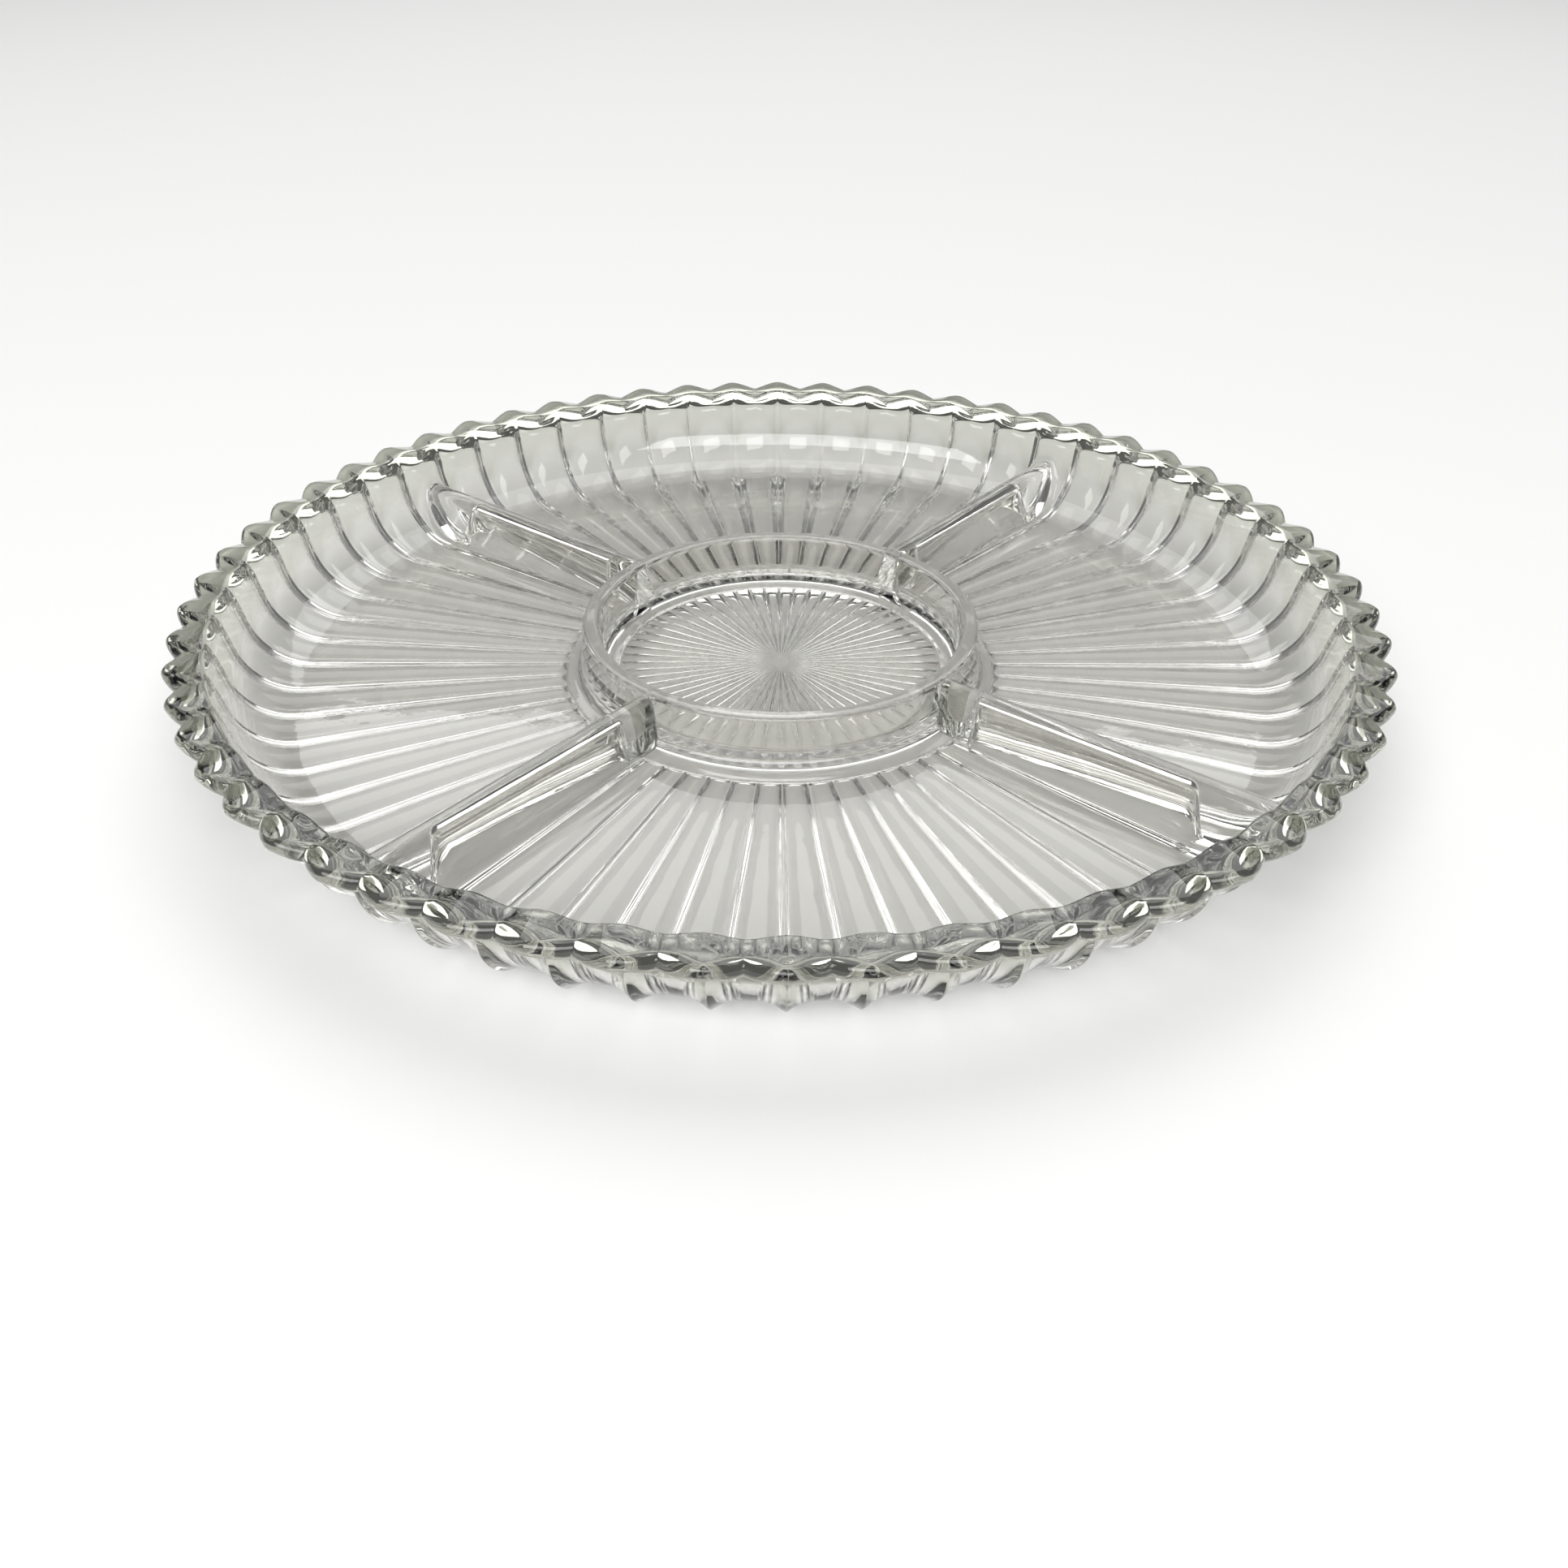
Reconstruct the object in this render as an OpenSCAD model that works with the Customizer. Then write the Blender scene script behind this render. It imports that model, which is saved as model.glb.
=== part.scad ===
// Divided relish tray: a round dish pressed in clear glass, with four compartments around a
// centre well. Radial flutes run under the floor, round the cove and up the wall, and their
// ridges end in the teeth of the rim. Z = 0 is the surface that the foot ring stands on.

/* [Tray] */
// Outside diameter, over the tips of the teeth
tray_d = 356; // [300:2:430]
// Overall height, from the foot ring to the top of the rim
tray_h = 34; // [30:0.5:42]
// Thickness of the floor, measured at a ridge
floor_t = 5.6; // [4.6:0.2:8]
// Height of the foot ring below the ridges
foot_step = 0.4; // [0.2:0.1:1.5]

/* [Flutes] */
// Number of flutes: a divider stands over the middle of a flute at these counts
flute_count = 60; // [44:8:76]
// Depth of a flute where the flat floor ends
flute_depth = 1.8; // [1:0.1:2.6]

/* [Wall and rim] */
// Inside radius of the cove between floor and wall
cove_r = 18; // [12:0.5:20]
// Lean of the wall from upright, in degrees
wall_lean = 14; // [6:1:22]
// Width of the rim, from its inner edge to the tips of the teeth
rim_w = 11.5; // [9:0.5:14]
// Height of the rim
rim_h = 10; // [8:0.5:11]
// Fall of the rim's top, from inner edge to teeth
rim_fall = 0.8; // [0.2:0.1:2]
// Radius that rounds the rim's inner edge
rim_edge_r = 1.2; // [0.6:0.1:2]
// Radius that rounds the rim down to the tips of the teeth
rim_nose_r = 3.4; // [2:0.1:3.8]
// Depth of the notch between two teeth
tooth_depth = 3.8; // [2:0.1:5]
// Radius that rounds the tip of a tooth, seen from above
tooth_tip_r = 8; // [6:0.1:9]

/* [Centre well] */
// Outside radius of the foot ring, where the flutes of the floor begin
foot_out_r = 66.5; // [60:0.5:80]
// Inside radius of the foot ring, where the centre floor begins
foot_in_r = 51; // [44:0.5:58]
// Height of the centre ring above the floor
ring_h = 14.8; // [10:0.2:18]
// Outside radius of the centre ring at its top
ring_out_r = 61; // [56:0.2:74]
// Thickness of the centre ring at its top
ring_t = 5; // [3.6:0.2:7]
// Draft of the ring's sides, in degrees
ring_draft = 4; // [1:0.5:8]
// Radius of the fillet around the outside of the ring
ring_fillet_r = 3.4; // [1:0.2:5]
// Radius that rounds the top edges of the ring
ring_edge_r = 1.6; // [0.6:0.1:1.8]
// Thickness of the centre floor, measured at a ray
well_floor_t = 4.8; // [3.6:0.2:7]
// Number of rays pressed under the centre floor
ray_count = 60; // [24:4:72]
// Depth of the hollow between two rays, at the edge of the centre floor
ray_depth = 0.7; // [0.3:0.1:1.2]
// Radius of the plain middle of the centre floor
hub_r = 10; // [6:0.5:18]

/* [Dividers] */
// Height of a divider above the floor
divider_h = 14.5; // [9:0.5:17]
// Half width of a divider at the floor, as an angle at the tray's middle
divider_half_angle = 4.2; // [3.6:0.1:5]
// Radius that rounds a divider's crest at the centre ring
crest_in_r = 2.5; // [1.6:0.1:3]
// Radius that rounds a divider's crest at the wall
crest_out_r = 4; // [2.6:0.1:5.5]
// Glass over the hollow under a divider
divider_skin = 3.4; // [2.4:0.2:5]
// Gap from the foot ring to the hollow under a divider
hollow_gap = 4; // [3:0.5:10]
// Half width of that hollow at its inner end
hollow_in_w = 2.4; // [1.6:0.1:2.8]
// Half width of that hollow at its outer end
hollow_out_w = 5; // [3:0.1:6]

/* [Hidden] */
$fn = 96;
round_fn = 360;                  // for the large rounds
soft_fn = 24;                    // for the rounded ends of the dividers
glass = [0.80, 0.84, 0.81];
thick_glass = [0.62, 0.67, 0.61];
over = 1.5;                      // how far a blank stands past the ridges before it is fluted
past = 2;                        // how far a cutter runs past what it cuts
nose_past = 0.4;                 // how far the rim's nose runs past the teeth cut out of it
notch_past = 0.5;                // how many degrees a notch's cutter runs past the tips
bite = 0.01;                     // how far a round stands past the lines that touch it
key_in = 0.8;                    // how far the key of a divider stays inside its edges
flute_share = 0.95;              // a flute's share of its pitch on the floor: the rest is ridge
ray_share = 0.9;                 // the same for the rays under the centre floor
pitch = 360 / flute_count;
tip_r = tray_d / 2;
floor_z = foot_step + floor_t;   // top of the floors
rim_in_r = tip_r - rim_w;
wall_z = tray_h - rim_h;         // where the rim starts

// The cove's middle, placed so that the cove meets floor and wall without a break
cove_z = floor_z + cove_r;
out = [cos(wall_lean), -sin(wall_lean)];  // straight out through the wall
cove_x = rim_in_r - (tray_h - cove_z - cove_r * out[1]) * tan(wall_lean) - cove_r * out[0];
cove_end = [cove_x, cove_z] + cove_r * out;

// A flute's round section where the flat floor ends, and the path of its middle round the cove
flute_w = cove_x * tan(pitch / 2);
flute_r = (flute_w * flute_w + flute_depth * flute_depth) / (2 * flute_depth);
flute_path_r = cove_r + floor_t + flute_r - flute_depth;

// Inside radius of the wall at a height
function wall_in_r(z) = rim_in_r - (tray_h - z) * tan(wall_lean);

// The two ends of the line that touches two circles, on the left of the way from a to b
function touching_line(a, a_r, b, b_r) =
    let (way = b - a, turn = atan2(way[1], way[0]) + acos((a_r - b_r) / norm(way)),
         side = [cos(turn), sin(turn)])
    [a + a_r * side, b + b_r * side];

// A cone that lies under a floor and cuts one flute: depth is how deep it cuts at at_r, and
// half is the angle, seen from the tray's middle, that it takes up on each side
module radial_flute(depth, at_r, half, from_r, to_r, z) {
    rise = atan(depth / at_r);
    tilt = atan((cos(rise) - cos(half)) / sin(rise));
    spread = tan(tilt + rise);
    translate([0, 0, z]) rotate([0, 90 + tilt, 0]) translate([0, 0, from_r])
        cylinder(h = to_r - from_r, r1 = from_r * spread, r2 = to_r * spread);
}

// A flat ring or part of one, from one angle to another
module plate_sector(r_in, r_out, z_low, z_high, from, to) {
    rotate([0, 0, from]) rotate_extrude(angle = to - from, $fn = round_fn)
        translate([r_in, z_low]) square([r_out - r_in, z_high - z_low]);
}

// Section of the rim: a lip with a small round at its inner edge and a larger nose outside
module rim_section() {
    edge = [wall_in_r(tray_h - rim_edge_r) + rim_edge_r / cos(wall_lean), tray_h - rim_edge_r];
    nose = [tip_r + nose_past - rim_nose_r, tray_h - rim_fall - rim_nose_r];
    inner_foot = [wall_in_r(wall_z), wall_z];
    outer_foot = inner_foot + [floor_t, 0];
    inside = touching_line(inner_foot, 0, edge, rim_edge_r);
    top = touching_line(edge, rim_edge_r, nose, rim_nose_r);
    under = touching_line(nose, rim_nose_r, outer_foot, 0);
    polygon([under[1], under[0], top[1], top[0], inside[1], inside[0]]);
    translate(edge) circle(rim_edge_r + bite);
    translate(nose) circle(rim_nose_r + bite);
}

// Plan of the notch between two teeth: straight flanks from the bottom of the notch to the
// round tips on both sides
module notch_plan() {
    bottom = [tip_r - tooth_depth, 0];
    tip_mid = (tip_r - tooth_tip_r - bite) * [cos(pitch / 2), sin(pitch / 2)];
    flank_end = touching_line(tip_mid, tooth_tip_r, bottom, 0)[0];
    behind = [cos(pitch / 2 + notch_past), sin(pitch / 2 + notch_past)];
    inside = (tip_r - nose_past) * behind;
    far = (tip_r + past) * behind;
    mirrored = [[1, 0], [0, -1]];
    difference() {
        polygon([bottom, mirrored * flank_end, mirrored * inside, mirrored * far,
                 far, inside, flank_end]);
        for (side = [-1, 1])
            translate([tip_mid[0], side * tip_mid[1]]) circle(tooth_tip_r + bite);
    }
}

// The rim: a thick lip, notched to a ring of teeth
module rim() {
    color(thick_glass) difference() {
        rotate_extrude($fn = round_fn) rim_section();
        for (i = [0 : flute_count - 1]) rotate([0, 0, (i + 0.5) * pitch])
            translate([0, 0, wall_z - past]) linear_extrude(rim_h + 2 * past) notch_plan();
    }
}

// The straight part of the wall, fluted outside
module side_wall() {
    blank_t = floor_t + over;
    color(glass) difference() {
        rotate_extrude($fn = round_fn) polygon([
            cove_end,
            cove_end + blank_t * out,
            [wall_in_r(wall_z) + blank_t / cos(wall_lean), wall_z],
            [wall_in_r(wall_z), wall_z]]);
        for (i = [0 : flute_count - 1]) rotate([0, 0, (i + 0.5) * pitch])
            translate([cove_x + flute_path_r * out[0], 0, cove_z + flute_path_r * out[1]])
                rotate([0, wall_lean, 0]) translate([0, 0, -tray_h / 2])
                    cylinder(h = 2 * tray_h, r = flute_r);
    }
}

// The cove that turns the floor up into the wall, fluted outside
module cove() {
    blank_r = cove_r + floor_t + over;
    turn = 90 - wall_lean;
    color(glass) difference() {
        rotate_extrude($fn = round_fn) translate([cove_x, cove_z]) difference() {
            intersection() {
                circle(blank_r);
                polygon([[0, 0], [0, -2 * blank_r], [2 * blank_r, -2 * blank_r],
                         2 * blank_r * out]);
            }
            circle(cove_r);
        }
        for (i = [0 : flute_count - 1]) rotate([0, 0, (i + 0.5) * pitch])
            translate([cove_x, 0, cove_z]) rotate([90, 0, 0]) rotate([0, 0, -90 - past])
                rotate_extrude(angle = turn + 2 * past)
                    translate([flute_path_r, 0]) circle(flute_r);
    }
}

// The floor of one compartment after so many rounds of fluting. The cutters of one round stand
// three flutes apart, clear of each other.
module fluted_floor(from, rounds) {
    if (rounds == 0)
        plate_sector(foot_out_r, cove_x, foot_step, floor_z, from + pitch / 2, from + 90 - pitch / 2);
    else difference() {
        fluted_floor(from, rounds - 1);
        for (i = [rounds : 3 : flute_count / 4 - 1]) rotate([0, 0, from + i * pitch])
            radial_flute(flute_depth, cove_x, pitch / 2 * flute_share,
                         foot_out_r - 4 * past, cove_x + 4 * past, foot_step);
    }
}

// The floor of one compartment, fluted below, between two dividers
module compartment_floor(quarter) {
    color(glass) fluted_floor(quarter * 90 - 45, 3);
}

// The plain ring that the tray stands on
module foot_ring() {
    color(thick_glass) plate_sector(foot_in_r, foot_out_r, 0, floor_z, 0, 360);
}

// One side of the centre ring's section, as [edge, edge_side, fillet, fillet_side]: the middle
// of the round at the top, where the side leaves it, the middle of the fillet at the floor and
// where the side meets that. Sign is 1 for the outer side and -1 for the inner side.
function ring_side(top_r, sign) =
    let (top_z = floor_z + ring_h, slope = tan(ring_draft),
         across = [sign * cos(ring_draft), sin(ring_draft)],
         edge_x = top_r + sign * (ring_edge_r * slope - ring_edge_r / cos(ring_draft)),
         fillet_rise = ring_h - ring_fillet_r,
         fillet_x = top_r + sign * (fillet_rise * slope + ring_fillet_r / cos(ring_draft)),
         edge = [edge_x, top_z - ring_edge_r],
         fillet = [fillet_x, floor_z + ring_fillet_r])
    [edge, edge + ring_edge_r * across, fillet, fillet - ring_fillet_r * across];

// Section of the centre ring: drafted sides, rounded top, a fillet round its foot on both sides
module ring_section() {
    outer = ring_side(ring_out_r, 1);
    inner = ring_side(ring_out_r - ring_t, -1);
    up = [0, ring_edge_r];
    difference() {
        union() {
            polygon([[inner[2][0], floor_z], [outer[2][0], floor_z],
                     [outer[2][0], outer[3][1]], outer[3], outer[1], outer[0] + up,
                     inner[0] + up, inner[1], inner[3], [inner[2][0], inner[3][1]]]);
            translate(outer[0]) circle(ring_edge_r);
            translate(inner[0]) circle(ring_edge_r);
        }
        translate(outer[2]) circle(ring_fillet_r);
        translate(inner[2]) circle(ring_fillet_r);
    }
}

// The wall around the centre well
module centre_ring() {
    color(glass) rotate_extrude($fn = round_fn) ring_section();
}

// The floor of the centre well, with fine rays pressed below
module centre_floor() {
    under_z = floor_z - well_floor_t;
    ray_pitch = 360 / ray_count;
    color(glass) union() {
        plate_sector(0, hub_r, under_z, floor_z, 0, 360);
        difference() {
            plate_sector(hub_r, foot_in_r, under_z, floor_z, 0, 360);
            for (i = [0 : ray_count - 1]) rotate([0, 0, (i + 0.5) * ray_pitch])
                radial_flute(ray_depth, foot_in_r, ray_pitch / 2 * ray_share, hub_r + 1,
                             foot_in_r + 4 * past, under_z);
        }
    }
}

// What a divider's wall ends against: the centre ring inside it, the cove and the wall outside
module divider_ends() {
    rotate_extrude($fn = round_fn) {
        ring_section();
        difference() {
            translate([cove_x, floor_z - past]) square([2 * cove_r, tray_h + 2 * past]);
            translate([cove_x, cove_z]) circle(cove_r);
            polygon([[cove_x, cove_z], cove_end, [wall_in_r(tray_h), tray_h], [cove_x, tray_h]]);
        }
    }
}

// The wall of a divider above the floor: drafted sides and a round crest
module divider_wall(crest_z) {
    in_r = ring_out_r - ring_t / 2;
    out_r = cove_x + cove_r;
    side = [cos(divider_half_angle), sin(divider_half_angle)];
    other_side = [side[0], -side[1]];
    difference() {
        hull() {
            translate([in_r, 0, crest_z - crest_in_r]) sphere(crest_in_r, $fn = soft_fn);
            translate([out_r, 0, crest_z - crest_out_r]) sphere(crest_out_r, $fn = soft_fn);
            translate([0, 0, floor_z]) linear_extrude(0.1)
                polygon([in_r * side, out_r * side, out_r * other_side, in_r * other_side]);
        }
        divider_ends();
    }
}

// The hollow under a divider, round at both ends
module divider_hollow(crest_z) {
    ends = [[foot_out_r + hollow_gap, hollow_in_w],
            [cove_x - hollow_gap - hollow_out_w, hollow_out_w]];
    hull() for (end = ends) translate([end[0], 0, 0]) {
        translate([0, 0, -past]) cylinder(h = past, r = end[1], $fn = soft_fn);
        translate([0, 0, crest_z - divider_skin - end[1] / 2])
            sphere(end[1] / 2, $fn = soft_fn);
    }
}

// One divider: its wall, and the strip of floor that it stands on, joined by a key inside both
module divider(corner) {
    crest_z = floor_z + divider_h;
    key_angle = pitch / 2 - key_in;
    color(glass) rotate([0, 0, 45 + corner * 90]) difference() {
        union() {
            plate_sector(foot_out_r, cove_x, foot_step, floor_z, -pitch / 2, pitch / 2);
            divider_wall(crest_z);
            plate_sector(foot_out_r + key_in, cove_x - key_in, foot_step + key_in,
                         floor_z + key_in, -key_angle, key_angle);
        }
        divider_hollow(crest_z);
    }
}

rim();
side_wall();
cove();
compartment_floor(0);  // floor_right
compartment_floor(1);  // floor_back
compartment_floor(2);  // floor_left
compartment_floor(3);  // floor_front
foot_ring();
centre_ring();
centre_floor();
divider(0);  // divider_back_right
divider(1);  // divider_back_left
divider(2);  // divider_front_left
divider(3);  // divider_front_right
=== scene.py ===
"""Divided serving tray of clear pressed glass, on a pale floor under soft studio light.

The tray's surface is one closed skin, worked out as rows that run round the tray's axis and
columns that run out from it. It is then cut along rows and columns into one piece for each of
the tray's features, so the pieces share their edges and their normals and no false wall of
glass stands between them.
"""

import math
from types import SimpleNamespace

import bpy
import numpy as np
from bpy.props import FloatProperty, FloatVectorProperty, IntProperty, PointerProperty
from bpy.types import Operator, Panel, PropertyGroup
from mathutils import Matrix, Vector


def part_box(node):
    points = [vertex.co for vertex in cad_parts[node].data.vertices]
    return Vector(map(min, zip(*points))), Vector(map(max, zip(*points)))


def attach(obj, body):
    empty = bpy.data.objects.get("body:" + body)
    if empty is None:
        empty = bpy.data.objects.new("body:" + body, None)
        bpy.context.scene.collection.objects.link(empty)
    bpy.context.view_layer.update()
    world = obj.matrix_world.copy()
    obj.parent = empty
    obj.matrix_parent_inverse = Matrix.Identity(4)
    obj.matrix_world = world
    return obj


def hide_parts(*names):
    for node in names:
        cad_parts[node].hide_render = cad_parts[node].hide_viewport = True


bl_info = {
    "name": "Divided Serving Tray",
    "version": (1, 0, 0),
    "blender": (4, 5, 0),
    "location": "3D View > Sidebar > Serving Tray",
    "description": "Builds a fluted glass serving tray with four compartments and a centre well",
    "category": "Object",
}

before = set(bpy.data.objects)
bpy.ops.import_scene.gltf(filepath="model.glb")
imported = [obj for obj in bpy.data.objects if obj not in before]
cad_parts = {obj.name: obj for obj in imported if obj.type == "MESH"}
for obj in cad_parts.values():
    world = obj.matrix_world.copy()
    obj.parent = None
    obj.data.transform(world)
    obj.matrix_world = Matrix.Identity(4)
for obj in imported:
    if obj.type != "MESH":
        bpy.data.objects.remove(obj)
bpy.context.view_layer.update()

BODY = "root"

QUARTERS = ("right", "back", "left", "front")
CORNERS = ("back_right", "back_left", "front_left", "front_right")


# ---------------------------------------------------------------- settings


class TraySizes(PropertyGroup):
    """Sizes of the tray. All heights are above the surface that the tray stands on."""

    tip_r: FloatProperty(
        name="Outside radius",
        description="Radius over the tips of the rim's teeth",
        default=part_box("rim")[1].x,
        unit="LENGTH",
    )
    height: FloatProperty(
        name="Height",
        description="Height of the rim's top at a tooth",
        default=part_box("rim")[1].z,
        unit="LENGTH",
    )
    floor_z: FloatProperty(
        name="Floor height",
        description="Height of the floors' upper face",
        default=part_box("floor_right")[1].z,
        unit="LENGTH",
    )
    ridge_z: FloatProperty(
        name="Ridge height",
        description="Height of the floor's ridges over the foot",
        default=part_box("floor_right")[0].z,
        unit="LENGTH",
    )
    cove_mid_r: FloatProperty(
        name="Cove's middle radius",
        description="Radius where the flat floor turns into the cove",
        default=0.14545,
        unit="LENGTH",
    )
    cove_r: FloatProperty(
        name="Cove radius",
        description="Inside radius of the cove between floor and wall",
        default=0.018,
        unit="LENGTH",
    )
    wall_t: FloatProperty(
        name="Wall thickness",
        description="Thickness of floor and wall, measured at a ridge",
        default=0.0056,
        unit="LENGTH",
    )
    wall_lean: FloatProperty(
        name="Wall lean",
        description="Lean of the wall from upright",
        default=math.radians(14),
        subtype="ANGLE",
    )
    flutes: IntProperty(
        name="Flutes",
        description="Number of flutes, and of teeth round the rim",
        default=60,
        min=44,
        max=76,
    )
    flute_in: FloatProperty(
        name="Flute depth at the floor",
        description="Depth of a flute where the flat floor ends",
        default=0.0020,
        unit="LENGTH",
    )
    flute_out: FloatProperty(
        name="Flute depth at the rim",
        description="Depth of a flute under the rim",
        default=0.0029,
        unit="LENGTH",
    )
    flute_power: FloatProperty(
        name="Flute shape",
        description="How flat a flute's bottom is, and so how steep its sides: 2 is a parabola",
        default=3.4,
        min=1,
    )
    ridge_round: FloatProperty(
        name="Ridge rounding",
        description="How softly a ridge is rounded, as a share of half a flute",
        default=0.07,
        min=0.01,
    )
    rim_low: FloatProperty(
        name="Rim's foot",
        description="Height where the rim starts to flare from the wall",
        default=0.0238,
        unit="LENGTH",
    )
    rim_edge_r: FloatProperty(
        name="Rim's inner edge",
        description="Radius that rounds the rim's inner edge",
        default=0.0012,
        unit="LENGTH",
    )
    nose_r: FloatProperty(
        name="Tooth nose",
        description="Radius that rounds a tooth from its top to its underside",
        default=0.0022,
        unit="LENGTH",
    )
    tooth_depth: FloatProperty(
        name="Tooth depth",
        description="Depth of the notch between two teeth",
        default=0.0038,
        unit="LENGTH",
    )
    rim_wave: FloatProperty(
        name="Rim wave",
        description="How far the rim's top dips between two teeth",
        default=0.0013,
        unit="LENGTH",
    )
    foot_in_r: FloatProperty(
        name="Foot's inner radius",
        description="Inside radius of the flat foot ring",
        default=0.0525,
        unit="LENGTH",
    )
    foot_out_r: FloatProperty(
        name="Foot's outer radius",
        description="Outside radius of the flat foot ring, where the flutes begin",
        default=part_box("foot_ring")[1].x,
        unit="LENGTH",
    )
    ring_r: FloatProperty(
        name="Centre ring radius",
        description="Outside radius of the centre ring at its top",
        default=0.061,
        unit="LENGTH",
    )
    ring_t: FloatProperty(
        name="Centre ring thickness",
        description="Thickness of the centre ring at its top",
        default=0.005,
        unit="LENGTH",
    )
    ring_h: FloatProperty(
        name="Centre ring height",
        description="Height of the centre ring above the floor",
        default=0.0148,
        unit="LENGTH",
    )
    ring_edge_r: FloatProperty(
        name="Centre ring edge",
        description="Radius that rounds the top of the centre ring",
        default=0.0016,
        unit="LENGTH",
    )
    ring_fillet_r: FloatProperty(
        name="Centre ring fillet",
        description="Radius of the fillet round the foot of the centre ring",
        default=0.0034,
        unit="LENGTH",
    )
    well_z: FloatProperty(
        name="Well underside",
        description="Height of the underside of the centre floor",
        default=0.0012,
        unit="LENGTH",
    )
    ray_depth: FloatProperty(
        name="Ray depth",
        description="Depth of the hollows between the fine rays under the centre floor",
        default=0.0010,
        unit="LENGTH",
    )
    hub_r: FloatProperty(
        name="Hub radius",
        description="Radius of the plain middle of the centre floor",
        default=0.0035,
        unit="LENGTH",
    )
    divider_z: FloatProperty(
        name="Divider height",
        description="Height of the crest of a divider",
        default=0.0204,
        unit="LENGTH",
    )
    crest_in_r: FloatProperty(
        name="Crest at the ring",
        description="Radius that rounds a divider's crest at the centre ring",
        default=0.0025,
        unit="LENGTH",
    )
    crest_out_r: FloatProperty(
        name="Crest at the wall",
        description="Radius that rounds a divider's crest at the wall",
        default=0.004,
        unit="LENGTH",
    )
    divider_skin: FloatProperty(
        name="Divider skin",
        description="Glass between a divider's crest and the hollow under it",
        default=0.0031,
        unit="LENGTH",
    )
    divider_half: FloatProperty(
        name="Divider's half width",
        description="Half width of a divider at the floor, if it ran in to the tray's middle",
        default=0.0021,
        unit="LENGTH",
    )
    divider_widening: FloatProperty(
        name="Divider's widening",
        description="Gain in a divider's half width for each unit of radius",
        default=0.0515,
    )
    hollow_inset: FloatProperty(
        name="Hollow's inset",
        description="Taken off the hollow's half width, all along it",
        default=0.0012,
        unit="LENGTH",
    )
    hollow_widening: FloatProperty(
        name="Hollow's widening",
        description="Gain in the hollow's half width for each unit of radius",
        default=0.043,
    )
    hollow_crest_in_r: FloatProperty(
        name="Hollow's crest at the ring",
        description="Radius that rounds the top of the hollow at its inner end",
        default=0.0012,
        unit="LENGTH",
    )
    hollow_crest_out_r: FloatProperty(
        name="Hollow's crest at the wall",
        description="Radius that rounds the top of the hollow at its outer end",
        default=0.0024,
        unit="LENGTH",
    )
    hollow_in_r: FloatProperty(
        name="Hollow's inner end",
        description="Radius where the round inner end of the hollow has its middle",
        default=0.0733,
        unit="LENGTH",
    )
    hollow_run: FloatProperty(
        name="Hollow's run-out",
        description="How far before its outer radius the hollow's round outer end begins",
        default=0.006,
        unit="LENGTH",
    )
    hollow_squash: FloatProperty(
        name="Hollow's end shape",
        description="1 for an outer end as round as the hollow is wide, less for a longer one",
        default=0.65,
        min=0.1,
        max=1,
    )
    hollow_out_r: FloatProperty(
        name="Hollow's outer end",
        description="Radius where the widening of the hollow ends, inside its round outer end",
        default=0.1432,
        unit="LENGTH",
    )


class TrayColours(PropertyGroup):
    """Colours of the glass and the floor."""

    thin: FloatVectorProperty(
        name="Thin glass",
        description="Tint of the glass where it is thin",
        subtype="COLOR",
        default=(0.915, 0.91, 0.88),
        min=0,
        max=1,
    )
    thick: FloatVectorProperty(
        name="Thick glass",
        description="Tint of the glass where it is thick",
        subtype="COLOR",
        default=(0.52, 0.53, 0.46),
        min=0,
        max=1,
    )
    floor: FloatVectorProperty(
        name="Floor",
        description="Colour of the floor that the tray stands on",
        subtype="COLOR",
        default=(0.86, 0.86, 0.855),
        min=0,
        max=1,
    )


# ---------------------------------------------------------------- the skin's columns


def column_angles(sizes):
    """Angles of the skin's columns: close together at ridges, notches and dividers."""
    half_steps = 8
    steps = np.arange(2 * half_steps) / half_steps
    within = (1 - np.cos(math.pi * steps)) / 2
    within = np.where(steps > 1, 2 - within, within) / 2
    plain = (np.arange(sizes.flutes)[:, None] + within[None, :]).ravel() * 360 / sizes.flutes
    fine_step = 0.14
    reach = window_half(sizes)
    fine = np.arange(-reach, reach + fine_step / 2, fine_step)
    fine = (np.arange(4)[:, None] * 90 + 45 + fine[None, :]).ravel()
    apart = np.abs((fine[:, None] - plain[None, :] + 180) % 360 - 180).min(axis=1)
    return np.radians(np.sort(np.concatenate([plain, fine[apart > fine_step / 3]])))


def window_half(sizes):
    """Half angle, in degrees, of the stretch of floor that belongs to a divider."""
    pitches = 0.9
    return pitches * 360 / sizes.flutes


def from_ridge(angles, sizes):
    """How far each column stands from the nearest ridge: 0 on it, 1 in the middle of a flute."""
    turns = angles * sizes.flutes / (2 * math.pi)
    return 2 * np.abs(turns - np.round(turns))


def from_divider(angles):
    """Each column's angle from the nearest divider."""
    quarter = math.pi / 2
    return (angles % quarter) - quarter / 2


def soft_max(a, b, reach):
    """The larger of two heights, rounded off where they cross."""
    share = np.clip(0.5 + 0.5 * (a - b) / reach, 0, 1)
    return b + (a - b) * share + reach * share * (1 - share)


def soft_step(x, start, end):
    """0 before start, 1 after end, and a smooth rise between them."""
    t = np.clip((x - start) / (end - start), 0, 1)
    return t * t * (3 - 2 * t)


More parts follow.
